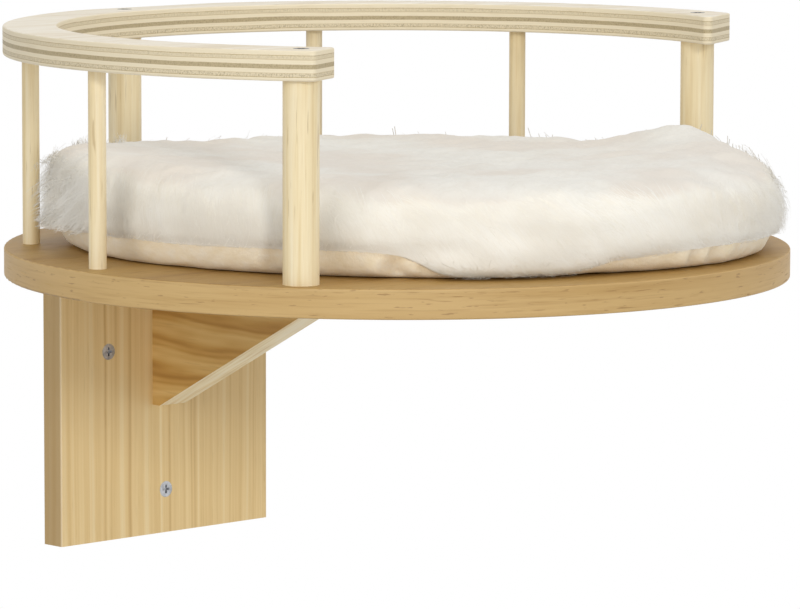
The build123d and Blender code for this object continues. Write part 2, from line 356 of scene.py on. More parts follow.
def gussetFinish():
    paint = Finish("pineGusset")
    x, y, z = paint.place()
    nz = paint.facing()[2]
    # yearly bands run out along the shelf, and wander up and down
    sway = paint.noise(y * 7, z * 9, x * 10, 2, 0.5) * 0.030
    level = z + sway + y * 0.06
    rings = paint.maths("SINE", level * 430 + paint.noise(y * 12, z * 40, x * 20, 3) * 7) * 0.5 + 0.5
    rosyTopPatches = paint.maths("SINE", level * 1500 + rings * 3) * 0.5 + 0.5
    broad = paint.noise(y * 6, level * 70, x * 30, 3)
    fibre = paint.noise(y * 40, z * 700, x * 700, 2, 0.6)
    body = paint.ramp(broad * 0.45 + rings * 0.40 + rosyTopPatches * 0.15, gussetTones["wood"])
    body = paint.mix(paint.step(fibre, 0.5, 0.8) * 0.3, body, gussetTones["fibre"])
    # the sawn face cuts across the bands, with long streaks down its length; it is also made much paler, which is
    # painted light on a face that looks down
    slant = paint.step(nz * -1, 0.3, 0.6)
    streaks = paint.noise((y - z) * 9, x * 330, (y + z) * 40, 3, 0.6)
    body = paint.mix(slant * 0.85, body, paint.ramp(streaks, gussetTones["slant"]))
    return paint.cover(body, 0.5 + fibre * 0.15, Normal=paint.bump(rings * 0.3 + fibre * 0.7, 0.00015, 0.5))


# plies: where each layer starts, as a share of the rail's thickness from its top
railTones = dict(
    light=(235, 222, 192), brown=(222, 208, 176), dark=(186, 170, 134), glue=(190, 168, 124),
    plies=[(0, "light"), (0.165, "glue"), (0.185, "brown"), (0.300, "glue"), (0.316, "light"),
           (0.455, "glue"), (0.463, "dark"), (0.590, "glue"), (0.600, "light"), (0.735, "glue"),
           (0.750, "brown"), (0.860, "glue"), (0.880, "light")],
    speckle=(146, 130, 96), streak=(196, 172, 130), gap=(112, 84, 52), fibre=(204, 184, 150),
    face=[(0.3, (224, 210, 184)), (0.5, (235, 225, 205)), (0.7, (241, 234, 219))],
    top=0.210, thick=0.015, radius=0.19)


def railFinish():
    paint = Finish("birchPly")
    x, y, z = paint.place()
    nz = paint.facing()[2]
    around = alongRim(paint, x, y, railTones["radius"])
    edge = paint.step(abs(nz), 0.75, 0.6)
    # seven plies, a little wavy
    wave = (paint.noise(around * 26, z * 90, 1, 2) - 0.5) * 0.05
    down = (railTones["top"] - z) / railTones["thick"] + wave
    plies = paint.ramp(down, [(share, railTones[tone]) for share, tone in railTones["plies"]], "CONSTANT")
    # the cross plies: the middle one, and the one above and below it
    inner = paint.step(abs(down - 0.525), 0.085, 0.055)
    lower = paint.step(abs(down - 0.815), 0.08, 0.05)
    upper = paint.step(abs(down - 0.22), 0.08, 0.05)
    # their end grain: fine speckle, and now and then a dark gap
    speckle = paint.noise(x * 1500, y * 1500, z * 1100, 2, 0.7)
    stretch = paint.noise(around * 60, z * 1300, 4, 3, 0.6)
    cross = paint.maths("MAXIMUM", inner, paint.maths("MAXIMUM", lower, upper * 0.5))
    plies = paint.mix(cross * paint.step(speckle, 0.42, 0.70) * 0.65, plies, railTones["speckle"])
    plies = paint.mix(paint.step(stretch, 0.5, 0.8) * 0.3, plies, railTones["streak"])
    gap = paint.step(paint.noise(around * 48, 6, 3, 1), 0.70, 0.76) * inner
    plies = paint.mix(gap * 0.8, plies, railTones["gap"])
    # the face veneer: pale, peeled round the log, with long soft flames
    flame = paint.noise(x * 9, y * 46, 3, 4, 0.55, 1.6)
    fibre = paint.noise(x * 60, y * 700, 5, 2)
    face = paint.ramp(flame, railTones["face"])
    face = paint.mix(paint.step(fibre, 0.55, 0.8) * 0.25, face, railTones["fibre"])
    body = paint.mix(edge, face, plies)
    height = paint.choose(edge, fibre * 0.4, speckle * cross + stretch * 0.4 - gap * 2)
    return paint.cover(body, 0.5 + speckle * 0.12, Normal=paint.bump(height, 0.0002, 0.5))


turnedTones = dict(
    wood=[(0.34, (224, 200, 150)), (0.5, (238, 220, 178)), (0.66, (245, 232, 200))],
    fine=(210, 184, 134), dash=(176, 146, 98))


def turnedFinish():
    # the posts and spindles: lines and short dashes that run upwards
    paint = Finish("palePine")
    x, y, z = paint.place()
    lines = paint.noise(x * 330, y * 330, z * 9, 3, 0.6)
    broad = paint.noise(x * 70, y * 70, z * 5, 2, 0.5, 0.5)
    fine = paint.noise(x * 1300, y * 1300, z * 60, 2, 0.6)
    dashes = paint.step(paint.noise(x * 640, y * 640, z * 34, 2, 0.5), 0.64, 0.72)
    where = paint.step(paint.noise(x * 30, y * 30, z * 16, 1), 0.45, 0.62)
    body = paint.ramp(lines * 0.6 + broad * 0.4, turnedTones["wood"])
    body = paint.mix(paint.step(fine, 0.5, 0.8) * 0.22, body, turnedTones["fine"])
    body = paint.mix(dashes * where * 0.5, body, turnedTones["dash"])
    height = lines * 0.5 + fine * 0.4 - dashes * where
    return paint.cover(body, 0.46 + lines * 0.16, Normal=paint.bump(height, 0.00012, 0.5))


# zinc: the coat's cloudy greys. A plain white, or a dark painted shade for the screws sunk in the rail, is
# multiplied over them
steelTones = dict(
    zinc=[(0.35, (150, 151, 154)), (0.55, (186, 188, 191)), (0.7, (205, 206, 208))],
    plain=(255, 255, 255), paintedShade=(120, 116, 108))


def steelFinish(name, shade):
    paint = Finish(name)
    x, y, z = paint.place()
    grains = paint.noise(x * 900, y * 900, z * 900, 3, 0.6)
    cloud = paint.noise(x * 160, y * 160, z * 160, 2)
    body = paint.mix(1, paint.ramp(grains * 0.5 + cloud * 0.5, steelTones["zinc"]), shade, "MULTIPLY")
    return paint.cover(body, 0.30 + cloud * 0.22, Normal=paint.bump(grains, 0.00004, 0.4), Metallic=1)


uprights = ("post_right", "post_back", "post_left", "spindle_right_front", "spindle_right_back",
            "spindle_left_back", "spindle_left_front")
dress(boardFinish(), "board")
dress(plateFinish(), "wall_plate")
dress(gussetFinish(), "gusset")
dress(railFinish(), "guard_rail")
dress(turnedFinish(), *uprights)
dress(steelFinish("zincSteel", steelTones["plain"]), "wall_screws", "post_base_screws", "plate_top_screws",
      "gusset_top_screws", "gusset_back_screws")
# painted shade: the rail's screws are darkened all over, as if shadowed in their holes
dress(steelFinish("paintedShadeZinc", steelTones["paintedShade"]), "rail_screws")
print("woods and steel finished")


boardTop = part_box("board")[1].z

# angles: 0 is right along the wall, 90 towards the wall. By angle, reach: how far it stands out past the plain
# pad. tuck, shoulder: how much the side draws in below and above the waist. lift: how far the top is raised.
# bands: how high the short plush shows below the long pile. side: how far in and how high each ring of the side
# lies. folds: angle, width in degrees, depth and top. lips: their height as a share of the depth, and how many
# widths out they lie. sway: how many degrees a fold wanders, and how fast. foldEnds: at what share of its top it
# ends, and over what height it starts
cushionBody = dict(
    middle=(0.001, -0.214), base=boardTop + 0.0002, angles=240, underShares=(0.06, 1, 14),
    overShares=(0.94, 0.05, 16), waist=0.020, liftSpan=0.018, crown=0.0396, crownPower=2.2,
    reach=[(0, 0), (95, 0), (115, 0.004), (137, 0.0085), (158, 0.006), (180, 0.002), (250, 0), (280, 0.002),
           (305, 0.005), (318, 0.0045), (330, 0.0065), (341, 0.0075), (350, 0.003), (360, 0)],
    tuck=[(0, 1), (222, 1), (233, 0.15), (253, 0.15), (262, 1), (360, 1)],
    side=[(-0.020, 0), (-0.0085, 0), (-0.0055, 0.0016), (-0.0030, 0.005), (-0.0012, 0.0105),
          (-0.0002, 0.018), (-0.0002, 0.0265), (-0.0020, 0.0335), (-0.0065, 0.0385), (-0.0150, 0.0412),
          (-0.0290, 0.0415)],
    shoulder=[(0, 1.1), (95, 0.8), (115, 0.45), (137, 0.28), (160, 0.45), (185, 0.9), (270, 1.1), (300, 1.3),
              (320, 1.2), (340, 0.7), (352, 0.9), (360, 1.1)],
    lift=[(0, 0.001), (60, 0), (100, 0.0005), (118, 0.004), (137, 0.0085), (155, 0.0065), (175, 0.002),
          (200, 0), (270, 0), (305, 0.002), (325, 0.0055), (342, 0.007), (352, 0.004), (360, 0.001)],
    voxel=0.0045, cap=0.002, frames=20,
    cloth=dict(quality=5, mass=0.3, tension_stiffness=15, compression_stiffness=15, bending_stiffness=0.8,
               use_pressure=True, uniform_pressure_force=4),
    coat=0.0028, coatStart=0.0032, lockRelief=0.0007, lockSize=0.026, tuftRelief=0.0003, tuftSize=0.011,
    bulge=dict(degrees=346, radius=0.162, height=0.0060, width=0.026, full=0.04),
    bands=[(0, 0.011), (150, 0.013), (215, 0.0145), (224, 0.0125), (231, 0.001), (254, 0.001), (260, 0.0075),
           (272, 0.0105), (285, 0.0115), (300, 0.011), (330, 0.009), (345, 0.010), (360, 0.011)],
    folds=[(223.5, 2, 0.0046, 0.010), (228.5, 1.6, 0.0036, 0.009), (279.5, 1.2, 0.0040, 0.010),
           (284, 1.8, 0.0030, 0.011), (200, 1.6, 0.0014, 0.010), (308, 2, 0.0014, 0.010)],
    foldsFrom=0.12, lips=(0.45, 2.1), sway=(0.9, 260), foldEnds=(1.6, 0.003),
)


def around(table, degrees):
    # reads a list of (angle, amount) at any angle, smoothly and without a seam
    angles = np.array([a for a, _ in table], float)
    amounts = np.array([b for _, b in table], float)
    fine = np.interp(np.arange(360), angles, amounts, period=360)
    kernel = np.hanning(9) / np.hanning(9).sum()
    fine = np.convolve(np.concatenate([fine[-4:], fine, fine[:4]]), kernel, "valid")
    return np.interp(degrees % 360, np.arange(361), np.append(fine, fine[0]))


def bearing(flat):
    # the angle that each flat offset points in, from 0 to 360 degrees
    return np.degrees(np.arctan2(flat[:, 1], flat[:, 0])) % 360


def padOutline(spec):
    # the plain pad's widest radius in each direction: the largest in each cell, then the mean of five cells. An
    # empty cell is filled from its neighbours
    flat = pointsOf(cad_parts["cushion"].data)[:, :2] - spec["middle"]
    cell, cells = 3, 120
    widest = np.zeros(cells)
    np.maximum.at(widest, (bearing(flat) / cell).astype(int) % cells, np.hypot(flat[:, 0], flat[:, 1]))
    known = widest > 0.1
    widest = np.interp(np.arange(cells), np.arange(cells)[known], widest[known], period=cells)
    soft = sum(np.roll(widest, k) for k in (-2, -1, 0, 1, 2)) / 5
    return lambda degrees: np.interp(degrees / cell - 0.5, np.arange(cells), soft, period=cells)


def padShell(spec, outline):
    # rings round the middle: flat under the base, out and up the side profile, then in over a low crown
    degrees = np.arange(spec["angles"]) * 360 / spec["angles"]
    widest = outline(degrees) + around(spec["reach"], degrees)
    side = np.array(spec["side"])
    inset, rise = side[:, 0], side[:, 1]
    under = np.linspace(*spec["underShares"], endpoint=False)
    over = np.linspace(*spec["overShares"])
    scale = np.where(rise[:, None] > spec["waist"], around(spec["shoulder"], degrees),
                     around(spec["tuck"], degrees))
    sideRadii = widest + inset[:, None] * scale
    radii = np.concatenate([under[:, None] * sideRadii[0], sideRadii, over[:, None] * sideRadii[-1]])
    crown = rise[-1] + (spec["crown"] - rise[-1]) * (1 - over ** spec["crownPower"])
    heights = np.concatenate([np.zeros(len(under)), rise, crown])
    turn = np.radians(degrees)
    middleX, middleY = spec["middle"]
    x = middleX + radii * np.cos(turn)
    y = middleY + radii * np.sin(turn)
    # the lift starts at the waist, and fades inwards over the top with the cube of the ring's share
    upper = np.clip((heights - spec["waist"]) / spec["liftSpan"], 0, 1)
    upper *= np.concatenate([np.ones(len(under) + len(rise)), over ** 3])
    z = spec["base"] + heights[:, None] + upper[:, None] * around(spec["lift"], degrees)
    points = np.stack([x, y, z], -1).reshape(-1, 3)
    rows, n = len(heights), len(degrees)
    # the two small holes are closed by quads that fan out from the middle
    step = np.arange(0, n, 2)
    ends = np.array([[middleX, middleY, spec["base"]], [middleX, middleY, spec["base"] + spec["crown"]]])
    low = np.stack([np.full(len(step), len(points)), (step + 2) % n, step + 1, step], -1)
    last = (rows - 1) * n
    tip = np.full(len(step), len(points) + 1)
    high = np.stack([tip, last + step, last + step + 1, last + (step + 2) % n], -1)
    quads = np.concatenate([ringQuads(rows, n), low, high])
    return meshFrom("cushion_body", np.concatenate([points, ends]), quads)


def pointsOf(mesh, what="co"):
    values = np.empty(len(mesh.vertices) * 3)
    mesh.vertices.foreach_get(what, values)
    return values.reshape(-1, 3)


def wholeOf(items, what):
    # one whole number of each item
    values = np.empty(len(items), np.int64)
    items.foreach_get(what, values)
    return values


def setPoints(mesh, points):
    mesh.vertices.foreach_set("co", np.ascontiguousarray(points, np.float32).ravel())
    mesh.update()


def bake(piece):
    # the piece's modifiers become its mesh
    bpy.context.view_layer.update()
    shaped = piece.evaluated_get(bpy.context.evaluated_depsgraph_get())
    mesh = bpy.data.meshes.new_from_object(shaped)
    old = piece.data
    piece.modifiers.clear()
    piece.data = mesh
    mesh.name = old.name
    bpy.data.meshes.remove(old)


def stuff(piece, spec):
    # even cells, then air pressure with gravity off, and no point moves further than the cap
    even = piece.modifiers.new("even", "REMESH")
    even.mode = "VOXEL"
    even.voxel_size = spec["voxel"]
    bake(piece)
    before = pointsOf(piece.data)
    cloth = piece.modifiers.new("stuffing", "CLOTH")
    for key, value in spec["cloth"].items():
        setattr(cloth.settings, key, value)
    cloth.settings.effector_weights.gravity = 0
    cloth.point_cache.frame_start, cloth.point_cache.frame_end = 1, spec["frames"]
    for number in range(1, spec["frames"] + 1):
        scene.frame_set(number)
    shaped = piece.evaluated_get(bpy.context.evaluated_depsgraph_get())
    after = pointsOf(shaped.data)
    piece.modifiers.remove(cloth)
    scene.frame_set(1)
    move = after - before
    far = norm(move, axis=1, keepdims=True)
    move *= np.minimum(1, spec["cap"] / np.maximum(far, 1e-9))
    after = before + move
    after[:, 2] = np.maximum(after[:, 2], spec["base"])
    setPoints(piece.data, after)


def wander(points, seed, size):
    # smooth noise about -1 to 1: a sum of sine waves in seeded random directions
    terms = 18
    rng = np.random.default_rng(seed)
    ways = rng.normal(size=(terms, 3))
    ways *= (2 * np.pi / size / norm(ways, axis=1) * rng.uniform(0.5, 1.4, terms))[:, None]
    return np.sin(points @ ways.T + rng.uniform(0, 2 * np.pi, terms)).sum(1) / math.sqrt(terms / 2) * 0.7


upward = np.array([0, 0, 1.0])


def unit(v):
    return v / np.maximum(norm(v, axis=-1, keepdims=True), 1e-9)


def crease(piece, spec):
    # one subdivision, then each fold is a narrow upright valley with soft lips that fades out upwards
    finer = piece.modifiers.new("finer", "SUBSURF")
    finer.levels = finer.render_levels = 1
    bake(piece)
    points = pointsOf(piece.data)
    flat = points[:, :2] - spec["middle"]
    reach = norm(flat, axis=1)
    degrees = bearing(flat)
    height = points[:, 2] - spec["base"]
    press = np.zeros(len(points))
    (lip, lipAt), (swing, waves), (end, start) = spec["lips"], spec["sway"], spec["foldEnds"]
    for angle, width, depth, top in spec["folds"]:
        away = (degrees - angle + 180) % 360 - 180 + swing * np.sin(height * waves)
        valley = np.exp(-(away / width) ** 2) - lip * np.exp(-((np.abs(away) - lipAt * width) / width) ** 2)
        press += depth * valley * np.clip(end - height / top, 0, 1) * np.clip(height / start, 0, 1)
    outward = reach > spec["foldsFrom"]
    # the pile's own thickness starts above the short band, in soft locks
    coat = np.clip((height - around(spec["bands"], degrees)) / spec["coatStart"], 0, 1)
    coat = coat * coat * (3 - 2 * coat)
    stretched = points * (1, 1, 0.5)
    relief = spec["lockRelief"] * wander(stretched, 5, spec["lockSize"])
    relief += spec["tuftRelief"] * wander(stretched, 6, spec["tuftSize"])
    # where the pad is pushed up against the right-hand post its top rises in one soft bulge
    bulge = spec["bulge"]
    turn = math.radians(bulge["degrees"])
    away = norm(flat - bulge["radius"] * np.array([math.cos(turn), math.sin(turn)]), axis=1)
    full = np.clip(height / bulge["full"], 0, 1) ** 2
    points[:, 2] += bulge["height"] * np.exp(-(away / bulge["width"]) ** 2) * full
    points += pointsOf(piece.data, "normal") * (coat * (spec["coat"] + relief))[:, None]
    points[:, :2] -= flat / np.maximum(reach, 1e-6)[:, None] * (press * outward)[:, None]
    setPoints(piece.data, points)
    share = piece.data.attributes.new("coat", "FLOAT", "POINT")
    share.data.foreach_set("value", coat.astype(np.float32))
    piece.data.polygons.foreach_set("use_smooth", np.ones(len(piece.data.polygons), bool))


plushTones = dict(
    cream=[(0.34, (248, 236, 208)), (0.5, (252, 242, 219)), (0.66, (253, 246, 229))],
    nap=(240, 225, 194), grey=(232, 228, 218), white=(240, 238, 231), rosy=(226, 215, 202),
    line=(226, 219, 207), turnRadius=0.17)


def plushFinish():
    paint = Finish("creamPlush")
    x, y, z = paint.place()
    nz = paint.facing()[2]
    coat = paint.node("Attribute", {"attribute_name": "coat"}, {})[2]
    high = paint.step(coat, 0.1, 0.6)
    # hair lines run down the sides and lie across the top
    middleX, middleY = cushionBody["middle"]
    turn = paint.maths("ARCTAN2", x - middleX, y - middleY) * plushTones["turnRadius"]
    top = paint.step(nz, 0.55, 0.85)
    lines = paint.choose(top, paint.noise(turn * 520, z * 42, 1, 4, 0.6, 0.6),
                         paint.noise(x * 120 + y * 60, y * 260 - x * 130, 2, 4, 0.6, 0.8))
    soft = paint.noise(x * 55, y * 55, z * 90, 3, 0.6)
    nap = paint.noise(x * 900, y * 900, z * 700, 3, 0.65)
    pat = paint.noise(x * 190, y * 190, z * 260, 2, 0.5)
    cream = paint.ramp(soft * 0.5 + pat * 0.5, plushTones["cream"])
    cream = paint.mix(paint.step(nap, 0.45, 0.75) * 0.2, cream, plushTones["nap"])
    white = paint.mix(soft, plushTones["grey"], plushTones["white"])
    # on top, patches turn a darker rosy beige
    rosyTopPatches = top * paint.step(paint.noise(x * 14 + 4, y * 14, 3, 2, 0.5), 0.40, 0.62)
    white = paint.mix(rosyTopPatches * 0.6, white, plushTones["rosy"])
    white = paint.mix(paint.step(lines, 0.42, 0.72) * 0.3, white, plushTones["line"])
    body = paint.mix(high, cream, white)
    height = paint.choose(high, nap * 0.6 + pat * 0.6, lines)
    return paint.cover(body, 0.88 + nap * 0.1, Normal=paint.bump(height, 0.0007, 0.6), **{
        "Sheen Weight": 0.2, "Sheen Roughness": 0.5, "Specular IOR Level": 0.2})


padRadius = padOutline(cushionBody)
pad = padShell(cushionBody, padRadius)
stuff(pad, cushionBody)
crease(pad, cushionBody)
pad.data.materials.clear()
pad.data.materials.append(plushFinish())
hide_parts("cushion")
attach(pad, "cushion")
print("cushion body stuffed:", len(pad.data.polygons), "faces")


# lean: how far a lock leans out of the pad where it starts. upright: from which share of facing up the locks
# give out, and over what span, as the level top has none. brushed: which way the top's pile lies over. combOver:
# how far the side's locks lie over to the right, by angle. carry, follow: how far a lock keeps its own way and
# follows the comb. sink: how much of its height it keeps on top and at the sides
longPile = dict(
    seed=29, locks=2100, hairs=14, joints=4, length=(0.020, 0.036), spread=0.0050, gather=0.40, lean=0.20,
    layer=(0.0002, 0.0010), droop=0.30, rootWidth=0.00036, tipWidth=0.00012, clear=0.0012, stray=0.03,
    strayLift=(0.001, 0.004), waver=0.10, hangFrom=0.010, edgeGather=0.84, edgeRow=0.009, edgeExtra=2.5,
    twist=0.15, rootAbove=0.002, endAbove=(0.0018, 0.0011), leastReach=0.34, upright=(0.60, 0.22),
    tipSpread=0.0011, wave=0.0005, leastStand=0.0006, overBand=0.0012, overBoard=0.0008,
    lockOverBoard=0.0010, swirls=(0.12, 0.035), sideSwirl=0.42, brushed=(0.74, -0.67, 0), brushedShare=0.45,
    carry=0.45, follow=0.55, press=0.18, sink=(0.55, 0.85),
    combOver=[(0, 0.5), (90, 0.2), (180, 0.2), (225, 0.9), (250, 1.7), (290, 1.4), (330, 0.8), (360, 0.5)],
)

# the loose wisp at the left end, in front of the thin spindle: each line from root to tip, in tenths of a mm
leftWisp = dict(
    lines=[
        [(-1356, -894, 1190), (-1379, -873, 1158), (-1402, -852, 1122), (-1429, -827, 1085), (-1460, -799, 1049)],
        [(-1348, -901, 1185), (-1371, -880, 1143), (-1391, -863, 1101), (-1418, -838, 1059), (-1449, -810, 1022)],
        [(-1356, -894, 1153), (-1371, -880, 1117), (-1383, -869, 1080), (-1395, -859, 1038), (-1406, -848, 1002)],
        [(-1363, -888, 1211), (-1386, -866, 1179), (-1406, -849, 1138), (-1425, -831, 1101), (-1444, -813, 1075)]],
    hairs=110, spread=0.0042, gather=0.66,
)

# short locks that stand up from the far left of the top
topTufts = dict(degrees=(108, 124), inset=0.004, heights=(0.043, 0.045), out=(-0.1, 0.5), rise=(1, 1),
                sag=0, count=26, length=(0.0045, 0.0085), hairs=9, spread=0.0018, gather=0.85)

# the loose fluff of the left end
leftFluff = dict(degrees=(139, 158), inset=0.002, heights=(0.015, 0.041), out=(0.6, 1), rise=(-1, -0.1),
                 sag=0.4, count=110, length=(0.008, 0.014), hairs=12, spread=0.0032, gather=0.72)


# stretch: about half the pad's size. near, wide: how often the cells are softened across and down. An empty cell,
# and one near a pole, takes the wide one. Inwards of levelFrom the skin is level
skinGrid = dict(turns=120, tilts=40, stretch=(0.16, 0.16, 0.024), near=(2, 1), wide=(40, 2), fewest=0.2, poleRows=5,
                levelFrom=0.115, levelSpan=0.035, topWithin=0.06)


def gridPlace(q):
    # a direction as a place on the grid: its turn round the upright, and its tilt from straight down to up
    a = (np.arctan2(q[:, 1], q[:, 0]) / (2 * np.pi) % 1) * skinGrid["turns"]
    b = (np.arctan2(q[:, 2], np.hypot(q[:, 0], q[:, 1])) / np.pi + 0.5) * (skinGrid["tilts"] - 1)
    return a, b


def skinOf(piece, middle):
    # the pad as a radius for each direction, in a space where the pad is about as tall as it is wide
    points = pointsOf(piece.data)
    turns, tilts, stretch = skinGrid["turns"], skinGrid["tilts"], np.array(skinGrid["stretch"])
    centre = np.array([*middle, boardTop + stretch[2]])
    q = (points - centre) / stretch
    a, b = gridPlace(q)
    cell = np.rint(b).astype(int) * turns + np.rint(a).astype(int) % turns
    size = norm(q, axis=1)
    total = np.bincount(cell, size, turns * tilts).reshape(tilts, turns)
    count = np.bincount(cell, minlength=turns * tilts).reshape(tilts, turns).astype(float)

    def soften(grid, across, down):
        for _ in range(across):
            grid = (np.roll(grid, 1, 1) + 2 * grid + np.roll(grid, -1, 1)) / 4
        for _ in range(down):
            padded = np.concatenate([grid[:1], grid, grid[-1:]])
            grid = (padded[:-2] + 2 * padded[1:-1] + padded[2:]) / 4
        return grid

    near, wide = (soften(total, *skinGrid[which]) / np.maximum(soften(count, *skinGrid[which]), 1e-9)
                  for which in ("near", "wide"))
    poleward = np.abs(np.arange(tilts) - (tilts - 1) / 2) > (tilts - 1) / 2 - skinGrid["poleRows"]
    empty = soften(count, *skinGrid["near"]) < skinGrid["fewest"]
    table = np.where(empty | poleward[:, None], wide, near)
    table[0], table[-1] = table[1].mean(), table[-2].mean()
    tilt = (np.arange(tilts) / (tilts - 1) - 0.5) * np.pi
    turn = np.arange(turns) / turns * 2 * np.pi
    way = np.stack([np.cos(tilt)[:, None] * np.cos(turn), np.cos(tilt)[:, None] * np.sin(turn),
                    np.sin(tilt)[:, None] * np.ones(turns)], -1)
    skin = centre + way * table[..., None] * stretch
    alongTurn = np.roll(skin, -1, 1) - np.roll(skin, 1, 1)
    alongTilt = np.gradient(skin, axis=0)
    normal = unit(np.cross(alongTurn, alongTilt))
    normal[0], normal[-1] = (0, 0, -1), (0, 0, 1)
    high = points[(norm(points[:, :2] - middle, axis=1) < skinGrid["topWithin"]) & (points[:, 2] > centre[2])]
    return dict(centre=centre, table=table, normal=normal, top=high[:, 2].mean())


def atSkin(skin, points):
    # for each point: the skin's own point behind it, its normal there, and how far out the point stands
    q = (points - skin["centre"]) / skinGrid["stretch"]
    size = np.maximum(norm(q, axis=1), 1e-9)
    a, b = gridPlace(q)
    b = np.clip(b, 0, skinGrid["tilts"] - 1.001)
    a0, b0 = np.floor(a).astype(int) % skinGrid["turns"], np.floor(b).astype(int)
    a1, b1 = (a0 + 1) % skinGrid["turns"], b0 + 1
    u, v = a - np.floor(a), b - b0

    def read(grid):
        s, t = (u, v) if grid.ndim == 2 else (u[:, None], v[:, None])
        lower = grid[b0, a0] * (1 - s) + grid[b0, a1] * s
        return lower * (1 - t) + (grid[b1, a0] * (1 - s) + grid[b1, a1] * s) * t

    radius = read(skin["table"])
    foot = skin["centre"] + q / size[:, None] * radius[:, None] * skinGrid["stretch"]
    normal = read(skin["normal"])
    away = norm(points[:, :2] - skin["centre"][:2], axis=1)
    level = np.clip((skinGrid["levelFrom"] - away) / skinGrid["levelSpan"], 0, 1)
    level = (level * (points[:, 2] > skin["centre"][2]))[:, None]
    foot = foot * (1 - level) + np.column_stack([points[:, :2], np.full(len(points), skin["top"])]) * level
    normal = unit(normal * (1 - level) + upward * level)
    stand = ((points - foot) * normal).sum(1)
    return foot, normal, stand


def bandAt(points):
    # the height of the short band's top at each point's angle
    return boardTop + around(cushionBody["bands"], bearing(points[:, :2] - cushionBody["middle"]))


def scatter(piece, count, rng):
    # even random places on the pad above its short band, more of them in the lowest row
    mesh = piece.data
    corners = wholeOf(mesh.loops, "vertex_index")
    starts = wholeOf(mesh.polygons, "loop_start")[wholeOf(mesh.polygons, "loop_total") == 4]
    quad = pointsOf(mesh)[corners[starts[:, None] + np.arange(4)]]
    crossed = np.cross(quad[:, 2] - quad[:, 0], quad[:, 3] - quad[:, 1])
    area = norm(crossed, axis=1)
    middle = quad.mean(1)
    band, height = bandAt(middle), middle[:, 2]
    chance = area * (height > band + longPile["rootAbove"])
    chance *= 1 + longPile["edgeExtra"] * (height < band + longPile["edgeRow"])
    low, span = longPile["upright"]
    chance *= 1 - np.clip((crossed[:, 2] / np.maximum(area, 1e-12) - low) / span, 0, 1)
    picked = rng.choice(len(quad), count, p=chance / chance.sum())
    u, v = rng.uniform(size=(2, count, 1))
    quad = quad[picked]
    return (quad[:, 0] * (1 - u) + quad[:, 1] * u) * (1 - v) + (quad[:, 3] * (1 - u) + quad[:, 2] * u) * v


def awayFromPosts(points, clear):
    # nothing comes nearer to a post or spindle than the clearance
    for node in uprights:
        low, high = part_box(node)
        centre = np.array([(low.x + high.x) / 2, (low.y + high.y) / 2])
        radius = (high.x - low.x) / 2 + clear
        flat = points[..., :2] - centre
        gap = norm(flat, axis=-1, keepdims=True)
        points[..., :2] = centre + flat / np.maximum(gap, 1e-9) * np.maximum(gap, radius)
    return points


def comb(points, normal, seed):
    # which way the pile is brushed: outwards over the top with soft swirls, and down and over along the sides
    outward = points - np.array([*cushionBody["middle"], 0])
    outward[:, 2] = 0
    outward = unit(outward)
    sideways = np.stack([-outward[:, 1], outward[:, 0], np.zeros(len(points))], 1)
    broad, narrow = longPile["swirls"]
    swirl = wander(points, seed, broad)[:, None] + wander(points, seed + 1, narrow)[:, None] * 0.4
    drift = np.array(longPile["brushed"]) * longPile["brushedShare"]
    flat = np.clip(normal[:, 2:3], 0, 1)
    over = around(longPile["combOver"], bearing(outward))
    way = outward + sideways * swirl * (0.35 + 0.65 * flat) + drift * flat
    way = way * flat + (-upward + sideways * (swirl * longPile["sideSwirl"] + over[:, None])) * (1 - flat)
    way -= normal * (way * normal).sum(1, keepdims=True)
    return unit(way)


def lockPaths(skin, roots, spec, rng):
    # each lock starts leaning out of the pad, bends over under its own weight and lies along the skin
    joints, count = spec["joints"], len(roots)
    length = rng.uniform(*spec["length"], count)
    stray = rng.uniform(size=count) < spec["stray"]
    layer = rng.uniform(*spec["layer"], count) + stray * rng.uniform(*spec["strayLift"], count)
    step = (length / joints)[:, None]
    foot, normal, _ = atSkin(skin, roots)
    points = [foot]
    heading = unit(comb(foot, normal, spec["seed"]) + normal * spec["lean"]
                   + rng.normal(size=(count, 3)) * spec["waver"])
    for k in range(1, joints + 1):
        here = points[-1] + heading * step
        foot, normal, stand = atSkin(skin, here)
        wish = layer * min(1.0, 0.35 + 0.65 * k / 2)
        keep = np.where(normal[:, 2] > 0.5, *spec["sink"])
        lift = np.where(stand < wish, wish, wish + (stand - wish) * keep)
        here = foot + normal * lift[:, None]
        here[:, 2] = np.maximum(here[:, 2], boardTop + spec["lockOverBoard"])
        points.append(here)
        heading = heading * spec["carry"] + comb(here, normal, spec["seed"]) * spec["follow"]
        heading = unit(heading - upward * spec["droop"] - normal * (spec["press"] * (normal[:, 2:3] > 0.5)))
    return np.stack(points, 1)


def trimToBand(paths, rng):
    # a lock ends where it passes the top of the short band, a little above or below
    count, joints = paths.shape[0], paths.shape[1] - 1
    limit = bandAt(paths[:, -1]) + rng.normal(*longPile["endAbove"], count)
    below = paths[:, :, 2] < limit[:, None]
    below[:, 0] = False
    first = np.where(below.any(1), below.argmax(1), joints)
    rows = np.arange(count)
    high, low = paths[rows, first - 1, 2], paths[rows, first, 2]
    part = np.where(below.any(1), np.clip((high - limit) / np.maximum(high - low, 1e-6), 0.1, 1), 1.0)
    reach = np.maximum((first - 1 + part) / joints, longPile["leastReach"])
    at = np.linspace(0, 1, joints + 1)[None] * reach[:, None] * joints
    i = np.minimum(np.floor(at).astype(int), joints - 1)
    t = (at - i)[..., None]
    return paths[rows[:, None], i] * (1 - t) + paths[rows[:, None], i + 1] * t


